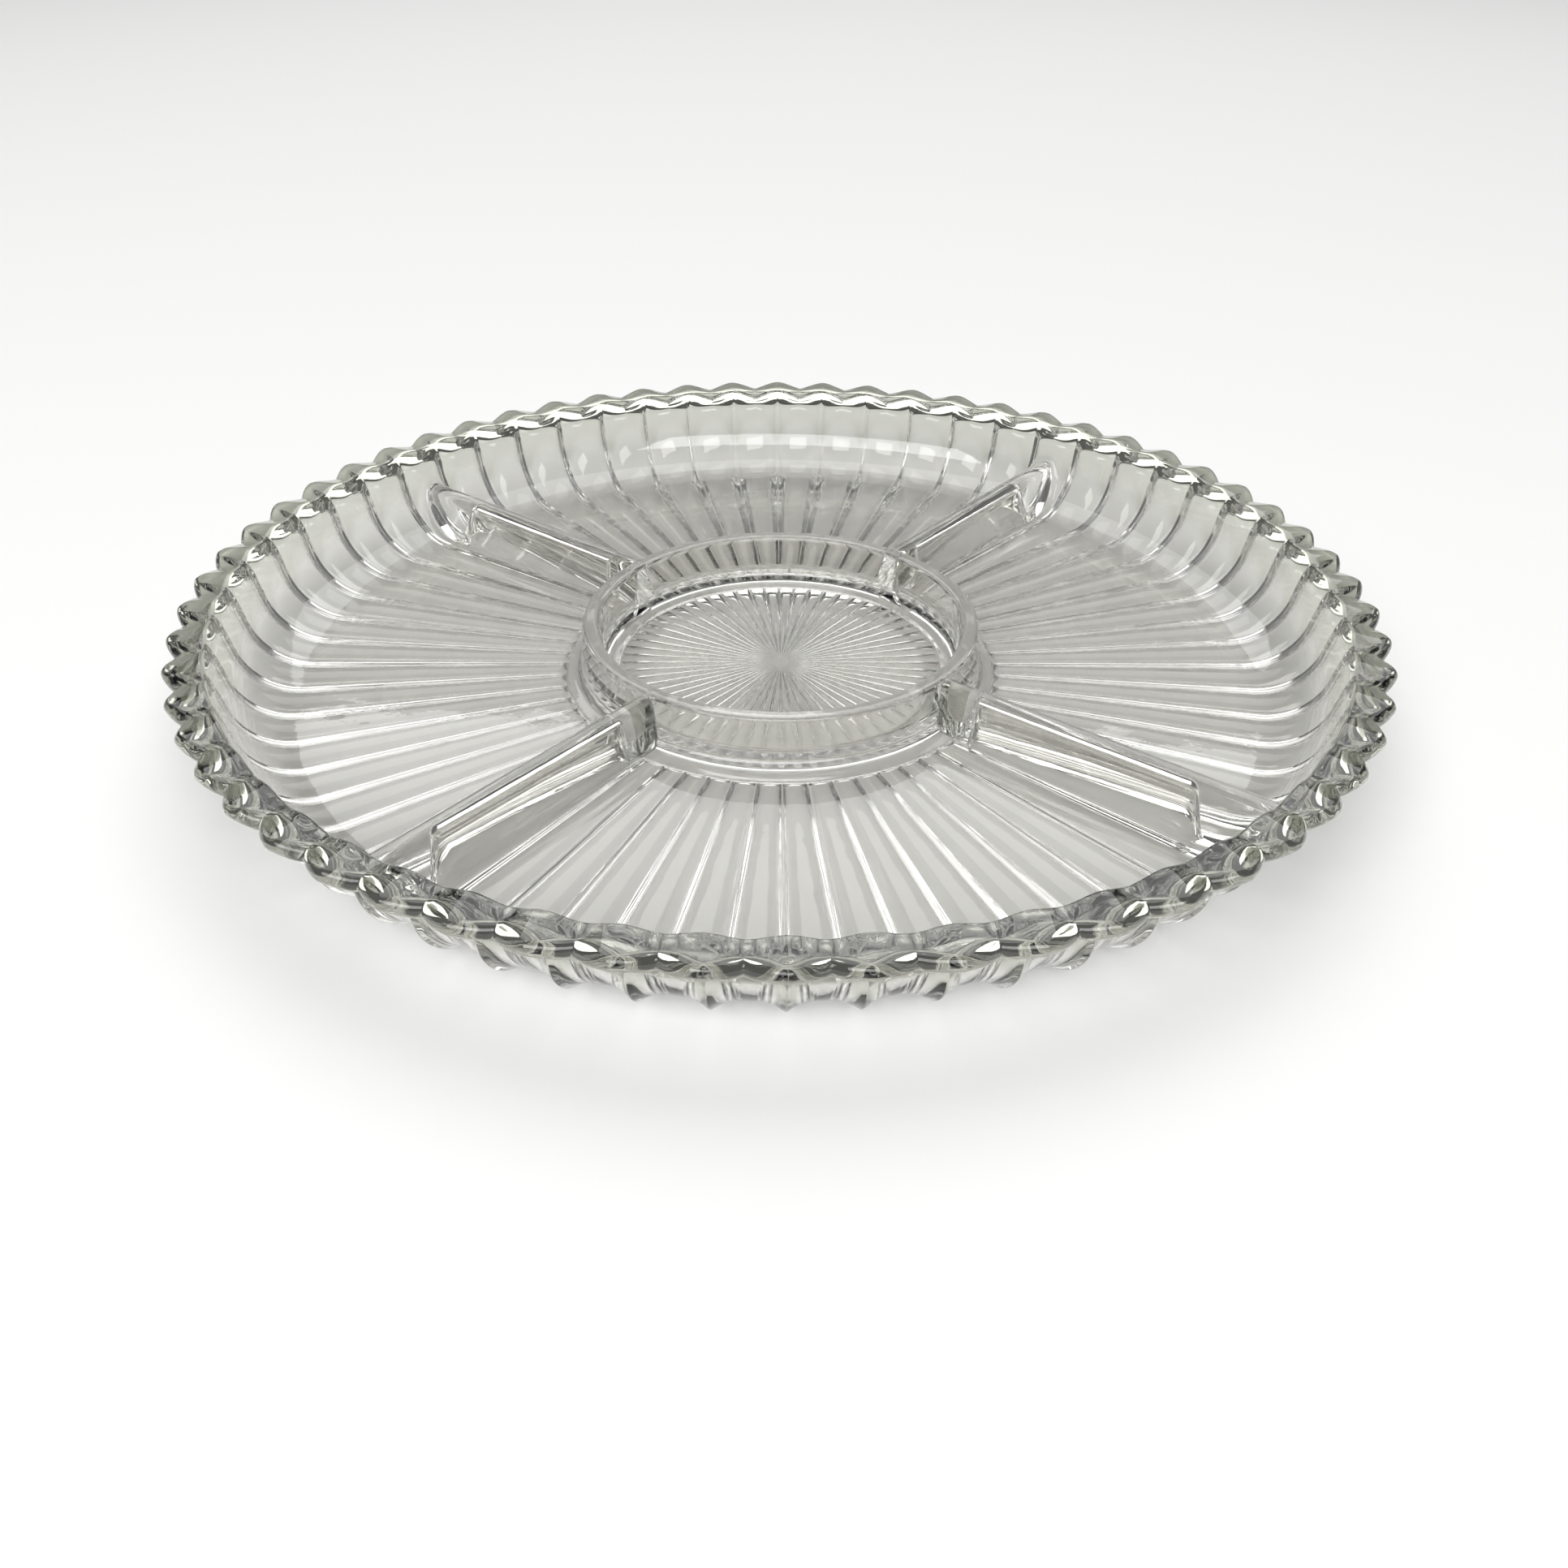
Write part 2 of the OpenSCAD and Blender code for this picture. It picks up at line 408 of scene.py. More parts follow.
def round_crest(side, top_z, crest_r, base_half, base_z):
    """Height of a bar's section at a distance from its middle: a round crest and drafted sides
    that reach base_half at base_z."""
    drop = top_z - crest_r - base_z
    reach = np.hypot(base_half, drop)
    draft = np.arctan2(base_half, drop) - np.arcsin(crest_r / reach)
    side = np.abs(side)
    touch = crest_r * np.cos(draft)
    crest = top_z - crest_r + np.sqrt(np.maximum(crest_r**2 - np.minimum(side, touch) ** 2, 0))
    return crest - np.maximum(side - touch, 0) / np.tan(draft)


# ---------------------------------------------------------------- the skin's rows


class Rows:
    """Rows of the skin, from the middle of its upper face over the rim to the middle of its
    underside. Each row has the place of its ridge columns, and how far its other columns move:
    into a flute, into a notch and down in the rim's wave."""

    def __init__(self):
        self.feature, self.place, self.flute, self.notch, self.wave = [], [], [], [], []

    def add(self, feature, points, flute=(0, 0), notch=0.0, wave=0.0):
        """Adds a stretch of rows. flute, notch and wave are one value or one for each point."""
        count = len(points)
        self.feature += [feature] * count
        self.place += [tuple(p) for p in points]
        self.flute += np.broadcast_to(np.asarray(flute, float), (count, 2)).tolist()
        self.notch += np.broadcast_to(np.asarray(notch, float), (count,)).tolist()
        self.wave += np.broadcast_to(np.asarray(wave, float), (count,)).tolist()


def arc(middle, radius, start, end, count):
    """Points on an arc in the plane of the section. Angles are in degrees from outwards to up."""
    turn = np.radians(np.linspace(start, end, count))
    return np.stack([middle[0] + radius * np.cos(turn), middle[1] + radius * np.sin(turn)], axis=1)


def line(start, end, count):
    """Points on a straight line, without its two ends."""
    share = np.linspace(0, 1, count + 2)[1:-1, None]
    return np.asarray(start) * (1 - share) + np.asarray(end) * share


def ring_rows(rows, sizes):
    """Up the inner side of the centre ring, over its top and down its outer side."""
    draft_angle, bends = 4, 9
    draft = math.radians(draft_angle)
    slope = math.tan(draft)
    top_z = sizes.floor_z + sizes.ring_h
    edge, fillet = sizes.ring_edge_r, sizes.ring_fillet_r
    rise = sizes.ring_h - fillet
    sides = {}
    for sign, top_r in ((-1, sizes.ring_r - sizes.ring_t), (1, sizes.ring_r)):
        edge_r = top_r + sign * edge * (slope - 1 / math.cos(draft))
        fillet_r = top_r + sign * (rise * slope + fillet / math.cos(draft))
        sides[sign] = ((edge_r, top_z - edge), (fillet_r, sizes.floor_z + fillet))
    inner, outer = sides[-1], sides[1]
    fillet_in = arc(inner[1], fillet, 270, 360 + draft_angle, bends)
    edge_in = arc(inner[0], edge, 180 + draft_angle, 90, bends)
    edge_out = arc(outer[0], edge, 90, -draft_angle, bends)
    fillet_out = arc(outer[1], fillet, 180 - draft_angle, 270, bends)
    rows.add("centre_ring", fillet_in)
    rows.add("centre_ring", line(fillet_in[-1], edge_in[0], 5))
    rows.add("centre_ring", edge_in)
    rows.add("centre_ring", line(edge_in[-1], edge_out[0], 2))
    rows.add("centre_ring", edge_out)
    rows.add("centre_ring", line(edge_out[-1], fillet_out[0], 8))
    rows.add("centre_ring", fillet_out)
    return fillet_in[0][0], fillet_out[-1][0]


def upper_rows(rows, sizes):
    """The upper face: centre floor, ring, floor, cove, and wall up to the rim."""
    marks = Rows()
    well_r, floor_r = ring_rows(marks, sizes)
    hub = np.array([0.0, 0.08, 0.16, 0.28, 0.42, 0.56, 0.7, 0.84, 0.96])
    rows.add("centre_floor", [(well_r * share, sizes.floor_z) for share in hub])
    ring_rows(rows, sizes)
    floor = np.linspace(floor_r, sizes.cove_mid_r, 34)[1:-1]
    rows.add("floor", [(r, sizes.floor_z) for r in floor])
    cove_mid = (sizes.cove_mid_r, sizes.floor_z + sizes.cove_r)
    lean = math.degrees(sizes.wall_lean)
    cove = arc(cove_mid, sizes.cove_r, 270, 360 - lean, 30)
    rows.add("cove", cove)
    return cove[-1]


def rim_rows(rows, sizes, wall_start):
    """The inner face of the wall, the rim's top and the teeth's noses."""
    lean = math.tan(sizes.wall_lean)
    edge_r = sizes.rim_edge_r
    top_r = wall_start[0] + (sizes.height - wall_start[1]) * lean
    edge = (top_r + edge_r * (1 / math.cos(sizes.wall_lean) - lean), sizes.height - edge_r)
    fall = 0.0008
    nose_z = sizes.height - fall - sizes.nose_r
    nose = (sizes.tip_r - sizes.nose_r, nose_z)
    turn = arc(edge, edge_r, 180 - math.degrees(sizes.wall_lean), 90, 7)
    wall = line(wall_start, turn[0], 9)
    rise = soft_step(wall[:, 1], sizes.rim_low, sizes.height)
    is_rim = wall[:, 1] > sizes.rim_low
    rows.add("side_wall", wall[~is_rim], wave=rise[~is_rim])
    rows.add("rim", wall[is_rim], wave=rise[is_rim])
    rows.add("rim", turn, wave=1.0)
    nose_end = -38
    over = arc(nose, sizes.nose_r, 90, nose_end, 20)
    top = line(turn[-1], over[0], 6)
    rows.add("rim", top, notch=np.linspace(0, 1, 8)[1:-1] ** 1.5, wave=1.0)
    rows.add("rim", over, notch=1.0, wave=1.0)
    return over[-1]


def lower_rows(rows, sizes, nose_end):
    """The underside: rim, wall, cove, floor, foot and centre floor."""
    cove_mid = np.array([sizes.cove_mid_r, sizes.floor_z + sizes.cove_r])
    outer_r = sizes.cove_r + sizes.wall_t
    lean = sizes.wall_lean
    out = np.array([math.cos(lean), -math.sin(lean)])
    up = np.array([math.sin(lean), math.cos(lean)])
    wall_end = cove_mid + outer_r * out
    wall_top = wall_end + up * (sizes.rim_low - wall_end[1]) / up[1]

    straight_on = 0.0048
    bend = wall_top + up * straight_on
    share = np.linspace(0, 1, 12)[1:-1, None]
    under = nose_end * (1 - share) ** 2 + 2 * share * (1 - share) * bend + wall_top * share**2
    fade = soft_step(share[:, 0], 0, 1)
    rows.add("rim", under, flute=-out * sizes.flute_out * fade[:, None], notch=1 - fade,
             wave=1 - soft_step(share[:, 0], 0, 0.8))

    wall = line(wall_top, wall_end, 6)
    rows.add("side_wall", [wall_top, *wall], flute=-out * sizes.flute_out)

    turn = np.radians(np.linspace(-math.degrees(lean), -90, 30))
    ways = np.stack([np.cos(turn), np.sin(turn)], axis=1)
    depth = np.interp(turn, [-math.pi / 2, -lean], [sizes.flute_in, sizes.flute_out])
    rows.add("cove", cove_mid + outer_r * ways, flute=-ways * depth[:, None])

    foot_step, foot_share = 0.0009, 0.35
    inner_past, inner_gap = 0.002, 0.00035
    outer_before, outer_gap, cove_gap = 0.0075, 0.00045, 0.0003
    flute_end = sizes.foot_out_r + foot_step
    inner_end = np.arange(flute_end, sizes.hollow_in_r + inner_past, inner_gap)
    outer_end = np.arange(sizes.hollow_out_r - outer_before, sizes.cove_mid_r - cove_gap, outer_gap)
    middle = np.linspace(inner_end[-1], outer_end[0], 24)[1:-1]
    floor = np.concatenate([inner_end, middle, outer_end])[::-1]
    depth = sizes.flute_in * floor / sizes.cove_mid_r
    fade_start, fade_end = 0.0004, 0.0022
    fade = soft_step(floor, sizes.foot_out_r + fade_start, sizes.foot_out_r + fade_end)
    rows.add("floor", [(r, sizes.ridge_z) for r in floor],
             flute=np.stack([0 * floor, depth * (foot_share + (1 - foot_share) * fade)], axis=1))

    step = np.linspace(1, 0, 6)
    step_z = sizes.ridge_z * soft_step(step, 0, 1)
    begin = sizes.flute_in * sizes.foot_out_r / sizes.cove_mid_r * foot_share
    step_in, flat_in = 0.0001, 0.001
    step_r = sizes.foot_out_r - step_in
    rows.add("foot_ring", [(step_r + foot_step * t, z) for t, z in zip(step, step_z)],
             flute=np.stack([0 * step, begin * soft_step(step, 0, 1)], axis=1))
    flat = np.linspace(sizes.foot_out_r - flat_in, sizes.foot_in_r, 6)
    rows.add("foot_ring", [(r, 0.0) for r in flat])

    rise_w, ray_gap, ray_fade = 0.0022, 0.0006, 0.006
    rise = np.linspace(0, 1, 10)[1:]
    rows.add("foot_ring", [(sizes.foot_in_r - rise_w * t, sizes.well_z * soft_step(t, 0, 1))
                           for t in rise])
    well_r = sizes.foot_in_r - rise_w
    rays = np.linspace(well_r - ray_gap, sizes.hub_r, 16)
    fade = soft_step(rays, sizes.hub_r, sizes.hub_r * 2) * soft_step(
        -rays, -well_r, -(well_r - ray_fade))
    depth = sizes.ray_depth * rays / sizes.foot_in_r * fade
    rows.add("centre_floor", [(r, sizes.well_z) for r in rays],
             flute=np.stack([0 * rays, depth], axis=1))
    rows.add("centre_floor", [(sizes.hub_r * 0.5, sizes.well_z), (0.0, sizes.well_z)])


def divider_heights(radius, side, sizes):
    """Height of a divider's outside at each radius and distance from its middle line."""
    crest = np.interp(radius, [sizes.ring_r, sizes.cove_mid_r + sizes.cove_r],
                      [sizes.crest_in_r, sizes.crest_out_r])
    base = sizes.divider_half + sizes.divider_widening * radius
    return round_crest(side, sizes.divider_z, crest, base, sizes.floor_z)


def hollow_heights(radius, side, sizes):
    """Height of the hollow under a divider, round at both of its ends."""
    past_outer = (radius - sizes.hollow_out_r + sizes.hollow_run) * sizes.hollow_squash
    past_end = np.maximum(np.maximum(sizes.hollow_in_r - radius, past_outer), 0)
    away = np.hypot(side, past_end)
    held = np.clip(radius, sizes.hollow_in_r, sizes.hollow_out_r)
    crest = np.interp(held, [sizes.hollow_in_r, sizes.hollow_out_r],
                      [sizes.hollow_crest_in_r, sizes.hollow_crest_out_r])
    base = sizes.hollow_widening * held - sizes.hollow_inset
    return round_crest(away, sizes.divider_z - sizes.divider_skin, crest, base, sizes.ridge_z)


def skin(sizes):
    """Works out the closed skin of the glass: points by row and column, the normals there, and
    the name of the piece that each stretch between rows and columns belongs to."""
    rows = Rows()
    wall_start = upper_rows(rows, sizes)
    nose_end = rim_rows(rows, sizes, wall_start)
    top_count = len(rows.place)
    lower_rows(rows, sizes, nose_end)

    angles = column_angles(sizes)
    near = from_ridge(angles, sizes)[None, :]
    flute = 1 - (1 - np.hypot(near, sizes.ridge_round) + sizes.ridge_round) ** sizes.flute_power
    notch = near**1.5
    wave = (1 - np.cos(math.pi * near)) / 2
    place = np.array(rows.place)
    move = np.array(rows.flute)
    radius = (place[:, :1] + move[:, :1] * flute
              - np.array(rows.notch)[:, None] * sizes.tooth_depth * notch)
    height = (place[:, 1:] + move[:, 1:] * flute
              - np.array(rows.wave)[:, None] * sizes.rim_wave * wave)

    turn = from_divider(angles)[None, :]
    side = radius * np.sin(turn)
    along = radius * np.cos(turn)
    feature = np.array(rows.feature)
    is_top = np.arange(len(place)) < top_count
    ring_overlap, hollow_blend, full_fillet_r = 0.0012, 0.0009, 0.075
    outside = is_top & (place[:, 0] >= sizes.ring_r - ring_overlap) & np.isin(
        feature, ["centre_ring", "floor", "cove", "side_wall"])
    blend_at = [sizes.ring_r, full_fillet_r, sizes.cove_mid_r, sizes.cove_mid_r + sizes.cove_r]
    blend_reach = [0.0008, 0.0022, 0.003, 0.004]
    blend = np.interp(along, blend_at, blend_reach)
    raised = soft_max(height, divider_heights(along, side, sizes), blend)
    height = np.where(outside[:, None], raised, height)
    under = ~is_top & (feature == "floor")
    hollowed = soft_max(height, hollow_heights(along, side, sizes), hollow_blend)
    height = np.where(under[:, None], hollowed, height)

    points = np.stack([radius * np.cos(angles), radius * np.sin(angles), height], axis=2)
    return SimpleNamespace(points=points, normals=skin_normals(points),
                           names=skin_names(feature, is_top, place, angles, sizes))


def skin_normals(points):
    """Normals at the skin's points, from the stretches that meet there."""
    here, right = points, np.roll(points, -1, axis=1)
    faces = np.cross(here[1:] - right[:-1], right[1:] - here[:-1])
    lengths = np.linalg.norm(faces, axis=2, keepdims=True)
    faces = faces / np.maximum(lengths, 1e-12) * np.sqrt(lengths)
    total = np.zeros_like(points)
    for shift in (0, 1):
        moved = np.roll(faces, shift, axis=1)
        total[:-1] += moved
        total[1:] += moved
    total[0] = (0, 0, 1)
    total[-1] = (0, 0, -1)
    return total / np.maximum(np.linalg.norm(total, axis=2, keepdims=True), 1e-12)


def skin_names(feature, is_top, place, angles, sizes):
    """Which piece each stretch of the skin belongs to, by row and column. A stretch between two
    features goes to the one with the longer name, so that it always has one owner."""
    middle = (angles + np.diff(np.append(angles, angles[0] + 2 * math.pi)) / 2) % (2 * math.pi)
    quarter = np.round(middle / (math.pi / 2)).astype(int) % 4
    corner = (middle // (math.pi / 2)).astype(int) % 4
    in_window = np.abs(from_divider(middle)) < math.radians(window_half(sizes))
    floors = np.array(["floor_" + name for name in QUARTERS])[quarter]
    dividers = np.array(["divider_" + name for name in CORNERS])[corner]
    names = np.empty((len(feature) - 1, len(angles)), dtype=object)
    for row in range(len(feature) - 1):
        name = max(feature[row:row + 2], key=len)
        if name == "floor":
            names[row] = np.where(in_window, dividers, floors)
        elif name == "cove" and is_top[row] and place[row][1] < sizes.divider_z:
            names[row] = np.where(in_window, dividers, name)
        else:
            names[row] = name
    return names


# ---------------------------------------------------------------- pieces


def new_piece(name, material):
    """Makes the piece of the skin that stands for one feature of the tray."""
    tray = tray_skin()
    rows, columns = np.nonzero(tray.names == name)
    count = tray.points.shape[1]
    corners = np.stack([
        rows * count + columns,
        (rows + 1) * count + columns,
        (rows + 1) * count + (columns + 1) % count,
        rows * count + (columns + 1) % count,
    ], axis=1)
    last = tray.points.shape[0] - 1
    pole_top, pole_low = rows == 0, rows == last - 1
    corners[pole_top, 0] = corners[pole_top, 3] = 0
    corners[pole_low, 1] = corners[pole_low, 2] = last * count
    used, index = np.unique(corners, return_inverse=True)
    index = index.reshape(corners.shape)
    sides = np.where(pole_top | pole_low, 3, 4)
    keep = np.ones(corners.shape, bool)
    keep[pole_top, 3] = False
    keep[pole_low, 2] = False
    loops = index[keep]

    mesh = bpy.data.meshes.new(name)
    mesh.vertices.add(len(used))
    mesh.vertices.foreach_set("co", tray.points.reshape(-1, 3)[used].astype(np.float32).ravel())
    mesh.loops.add(len(loops))
    mesh.loops.foreach_set("vertex_index", loops.astype(np.int32))
    mesh.polygons.add(len(sides))
    starts = np.concatenate([[0], np.cumsum(sides)[:-1]])
    mesh.polygons.foreach_set("loop_start", starts.astype(np.int32))
    mesh.update(calc_edges=True)
    mesh.validate()
    mesh.shade_smooth()
    mesh.normals_split_custom_set_from_vertices(tray.normals.reshape(-1, 3)[used])
    mesh.materials.append(material)

    piece = bpy.data.objects.new(name + "_glass", mesh)
    bpy.context.scene.collection.objects.link(piece)
    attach(piece, BODY)
    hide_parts(name)
    return piece


_made = {}


def tray_skin():
    """The tray's skin, worked out once and shared by all pieces."""
    if "skin" not in _made:
        _made["skin"] = skin(bpy.context.scene.tray_sizes)
    return _made["skin"]


# ---------------------------------------------------------------- materials


def node(tree, kind, label, **values):
    """Adds a shader node with a label. Values are the node's own settings."""
    made = tree.nodes.new(kind)
    made.label = label
    for key, value in values.items():
        setattr(made, key, value)
    return made


def group_socket(group, name, direction, kind, default=None):
    """Adds a named input or output to a node group."""
    socket = group.interface.new_socket(name, in_out=direction, socket_type=kind)
    if default is not None:
        socket.default_value = default
    return socket


def depth_tint_group():
    """Tint that deepens towards the rim, and where a divider is solid beside the centre ring."""
    name = "Depth Tint"
    if name in bpy.data.node_groups:
        return bpy.data.node_groups[name]
    group = bpy.data.node_groups.new(name, "ShaderNodeTree")
    group_socket(group, "Thin", "INPUT", "NodeSocketColor", (0.9, 0.9, 0.9, 1))
    group_socket(group, "Thick", "INPUT", "NodeSocketColor", (0.8, 0.8, 0.8, 1))
    group_socket(group, "Start", "INPUT", "NodeSocketFloat", 0.16)
    group_socket(group, "End", "INPUT", "NodeSocketFloat", 0.17)
    group_socket(group, "Block Start", "INPUT", "NodeSocketFloat", 0.062)
    group_socket(group, "Block End", "INPUT", "NodeSocketFloat", 0.07)
    group_socket(group, "Block Foot", "INPUT", "NodeSocketFloat", 0.008)
    group_socket(group, "Colour", "OUTPUT", "NodeSocketColor")
    given = node(group, "NodeGroupInput", "Given")
    place = node(group, "ShaderNodeTexCoord", "Place on the tray")
    flat = node(group, "ShaderNodeVectorMath", "Across only", operation="MULTIPLY")
    flat.inputs[1].default_value = (1, 1, 0)
    length = node(group, "ShaderNodeVectorMath", "From the axis", operation="LENGTH")
    share = node(group, "ShaderNodeMapRange", "Share of thick glass",
                 interpolation_type="SMOOTHSTEP")
    height = node(group, "ShaderNodeSeparateXYZ", "Height")
    past = node(group, "ShaderNodeMath", "Past the ring", operation="GREATER_THAN")
    before = node(group, "ShaderNodeMath", "Before the hollow", operation="LESS_THAN")
    above = node(group, "ShaderNodeMath", "Above the fillets", operation="GREATER_THAN")
    within = node(group, "ShaderNodeMath", "Between ring and hollow", operation="MULTIPLY")
    block = node(group, "ShaderNodeMath", "Solid end of a divider", operation="MULTIPLY")
    either = node(group, "ShaderNodeMath", "Thick anywhere", operation="MAXIMUM")
    mix = node(group, "ShaderNodeMix", "Tint", data_type="RGBA")
    result = node(group, "NodeGroupOutput", "Result")
    join = group.links.new
    join(place.outputs["Object"], flat.inputs[0])
    join(flat.outputs[0], length.inputs[0])
    join(length.outputs["Value"], share.inputs["Value"])
    join(given.outputs["Start"], share.inputs["From Min"])
    join(given.outputs["End"], share.inputs["From Max"])
    join(place.outputs["Object"], height.inputs[0])
    join(length.outputs["Value"], past.inputs[0])
    join(given.outputs["Block Start"], past.inputs[1])
    join(length.outputs["Value"], before.inputs[0])
    join(given.outputs["Block End"], before.inputs[1])
    join(height.outputs["Z"], above.inputs[0])
    join(given.outputs["Block Foot"], above.inputs[1])
    join(past.outputs[0], within.inputs[0])
    join(before.outputs[0], within.inputs[1])
    join(within.outputs[0], block.inputs[0])
    join(above.outputs[0], block.inputs[1])
    join(block.outputs[0], either.inputs[0])
    join(share.outputs[0], either.inputs[1])
    join(either.outputs[0], mix.inputs["Factor"])
    join(given.outputs["Thin"], mix.inputs[6])
    join(given.outputs["Thick"], mix.inputs[7])
    join(mix.outputs[2], result.inputs["Colour"])
    return group


def fire_polish_group():
    """Gentle unevenness of a pressed surface: slow waves with a little finer ripple on them."""
    name = "Fire Polish"
    if name in bpy.data.node_groups:
        return bpy.data.node_groups[name]
    group = bpy.data.node_groups.new(name, "ShaderNodeTree")
    group_socket(group, "Wave Scale", "INPUT", "NodeSocketFloat", 60.0)
    group_socket(group, "Ripple Scale", "INPUT", "NodeSocketFloat", 260.0)
    group_socket(group, "Ripple Share", "INPUT", "NodeSocketFloat", 0.15)
    group_socket(group, "Height", "OUTPUT", "NodeSocketFloat")
    given = node(group, "NodeGroupInput", "Given")
    place = node(group, "ShaderNodeTexCoord", "Place on the tray")
    waves = node(group, "ShaderNodeTexNoise", "Slow waves")
    waves.inputs["Detail"].default_value = 1.0
    ripple = node(group, "ShaderNodeTexNoise", "Ripple")
    ripple.inputs["Detail"].default_value = 2.0
    mix = node(group, "ShaderNodeMix", "Waves and ripple", data_type="FLOAT")
    result = node(group, "NodeGroupOutput", "Result")
    join = group.links.new
    join(place.outputs["Object"], waves.inputs["Vector"])
    join(place.outputs["Object"], ripple.inputs["Vector"])
    join(given.outputs["Wave Scale"], waves.inputs["Scale"])
    join(given.outputs["Ripple Scale"], ripple.inputs["Scale"])
    join(given.outputs["Ripple Share"], mix.inputs["Factor"])
    join(waves.outputs[0], mix.inputs["A"])
    join(ripple.outputs[0], mix.inputs["B"])
    join(mix.outputs[0], result.inputs["Height"])
    return group


def foot_wear_group():
    """Roughness of a face that has been slid about on tables: uneven, and only at the very foot."""
    name = "Foot Wear"
    if name in bpy.data.node_groups:
        return bpy.data.node_groups[name]
    group = bpy.data.node_groups.new(name, "ShaderNodeTree")
    group_socket(group, "Height", "INPUT", "NodeSocketFloat", 0.0002)
    group_socket(group, "Patch Scale", "INPUT", "NodeSocketFloat", 140.0)
    group_socket(group, "Most Rough", "INPUT", "NodeSocketFloat", 0.12)
    group_socket(group, "Roughness", "OUTPUT", "NodeSocketFloat")
    given = node(group, "NodeGroupInput", "Given")
    place = node(group, "ShaderNodeTexCoord", "Place on the tray")
    height = node(group, "ShaderNodeSeparateXYZ", "Height")
    low = node(group, "ShaderNodeMath", "On the foot", operation="LESS_THAN")
    patches = node(group, "ShaderNodeTexNoise", "Patches")
    amount = node(group, "ShaderNodeMath", "Wear", operation="MULTIPLY")
    scaled = node(group, "ShaderNodeMath", "Roughness of the wear", operation="MULTIPLY")
    result = node(group, "NodeGroupOutput", "Result")
    join = group.links.new
    join(place.outputs["Object"], height.inputs[0])
    join(place.outputs["Object"], patches.inputs["Vector"])
    join(given.outputs["Patch Scale"], patches.inputs["Scale"])
    join(height.outputs["Z"], low.inputs[0])
    join(given.outputs["Height"], low.inputs[1])
    join(low.outputs[0], amount.inputs[0])
    join(patches.outputs[0], amount.inputs[1])
    join(amount.outputs[0], scaled.inputs[0])
    join(given.outputs["Most Rough"], scaled.inputs[1])
    join(scaled.outputs[0], result.inputs["Roughness"])
    return group


def place_group(tree, group, label, **values):
    """Places a node group in a material with its own values."""
    made = node(tree, "ShaderNodeGroup", label, node_tree=group)
    for key, value in values.items():
        made.inputs[key.replace("_", " ").title()].default_value = value
    return made


def pressed_glass():
    """Clear fire-polished pressed glass with a faint tint."""
    name = "clear_pressed_glass"
    if name in bpy.data.materials:
        return bpy.data.materials[name]
    colours = bpy.context.scene.tray_colours
    material = bpy.data.materials.new(name)
    material.use_nodes = True
    tree = material.node_tree
    shader = tree.nodes["Principled BSDF"]
    shader.inputs["Transmission Weight"].default_value = 1.0
    shader.inputs["IOR"].default_value = 1.51
    tint = place_group(tree, depth_tint_group(), "Tint by depth", thin=(*colours.thin, 1),
                       thick=(*colours.thick, 1), start=0.164, end=0.167)
    polish = place_group(tree, fire_polish_group(), "Uneven surface", wave_scale=55.0,
                         ripple_scale=240.0, ripple_share=0.12)
    wear = place_group(tree, foot_wear_group(), "Worn foot", height=0.0002, patch_scale=140.0,
                       most_rough=0.12)
    bump = node(tree, "ShaderNodeBump", "Uneven surface")
    bump.inputs["Strength"].default_value = 0.25
    bump.inputs["Distance"].default_value = 0.0006
    tree.links.new(tint.outputs["Colour"], shader.inputs["Base Color"])
    tree.links.new(wear.outputs["Roughness"], shader.inputs["Roughness"])
    tree.links.new(polish.outputs["Height"], bump.inputs["Height"])
    tree.links.new(bump.outputs["Normal"], shader.inputs["Normal"])
    return material


def floor_finish():
    """Plain, pale, matt floor."""
    colours = bpy.context.scene.tray_colours
    material = bpy.data.materials.new("pale_floor")
    material.use_nodes = True
    tree = material.node_tree
    shader = tree.nodes["Principled BSDF"]
    shader.inputs["Base Color"].default_value = (*colours.floor, 1)
    shader.inputs["Roughness"].default_value = 0.9
    shader.inputs["Specular IOR Level"].default_value = 0.1
    return material


# ---------------------------------------------------------------- stage


def make_floor():
    """A round floor, wide enough to fill the view."""
    rings, spokes, radius, drop = 6, 48, 6.0, 0.0002
    turn = np.linspace(0, 2 * math.pi, spokes, endpoint=False)
    points = [(0.0, 0.0, 0.0)]
    for ring in range(1, rings + 1):
        reach = radius * ring / rings
        points += [(reach * math.cos(a), reach * math.sin(a), 0.0) for a in turn]
    faces = [(0, 1 + s, 1 + (s + 1) % spokes) for s in range(spokes)]
    for ring in range(rings - 1):
        low, high = 1 + ring * spokes, 1 + (ring + 1) * spokes
        faces += [(low + s, high + s, high + (s + 1) % spokes, low + (s + 1) % spokes)
                  for s in range(spokes)]
    mesh = bpy.data.meshes.new("floor")
    mesh.from_pydata(points, [], faces)
    mesh.materials.append(floor_finish())
    floor = bpy.data.objects.new("stage_floor", mesh)
    bpy.context.scene.collection.objects.link(floor)
    floor.location.z = -drop


def softbox(name, azimuth, elevation, distance, width, height, power):
    """A rectangular soft white light that faces the tray. Angles are in degrees."""
    light = bpy.data.lights.new(name, "AREA")
    light.shape = "RECTANGLE"
    light.size = width
    light.size_y = height
    light.energy = power
    lamp = bpy.data.objects.new(name, light)
    bpy.context.scene.collection.objects.link(lamp)
    turn, rise = math.radians(azimuth), math.radians(elevation)
    way = Vector((math.cos(turn) * math.cos(rise), math.sin(turn) * math.cos(rise), math.sin(rise)))
    lamp.location = way * distance
    lamp.rotation_euler = way.to_track_quat("Z", "Y").to_euler()
    return lamp


